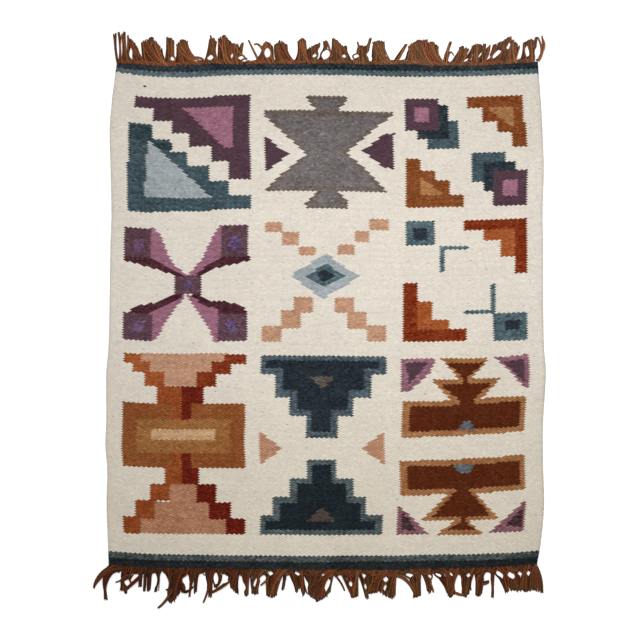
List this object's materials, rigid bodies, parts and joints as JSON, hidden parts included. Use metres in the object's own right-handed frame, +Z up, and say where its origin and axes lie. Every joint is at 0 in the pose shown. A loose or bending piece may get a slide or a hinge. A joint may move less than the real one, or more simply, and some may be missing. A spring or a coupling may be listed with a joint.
{
  "type": "woven rug",
  "caption": "Small flat hand-woven wool floor rug with a sampler of stepped geometric motifs and a loose fringe of warp ends at both ends.",
  "frame": {"origin": "centre of the whole rug's outline, fringes included, on the floor under it", "axes": "+X across the rug, +Y along it towards the far woven end, +Z up from the floor"},
  "size_m": [0.7376, 0.9401, 0.0045],
  "materials": {
    "wool_weft": "matt weft-faced tapestry weave of hand-spun wool, cream ground with dyed motifs",
    "warp_ends": "matt twisted wool warp yarn, rust brown"
  },
  "bodies": {
    "root": {"cloth": "wool_weft", "fringe_far": "warp_ends", "fringe_near": "warp_ends"}
  },
  "joints": []
}
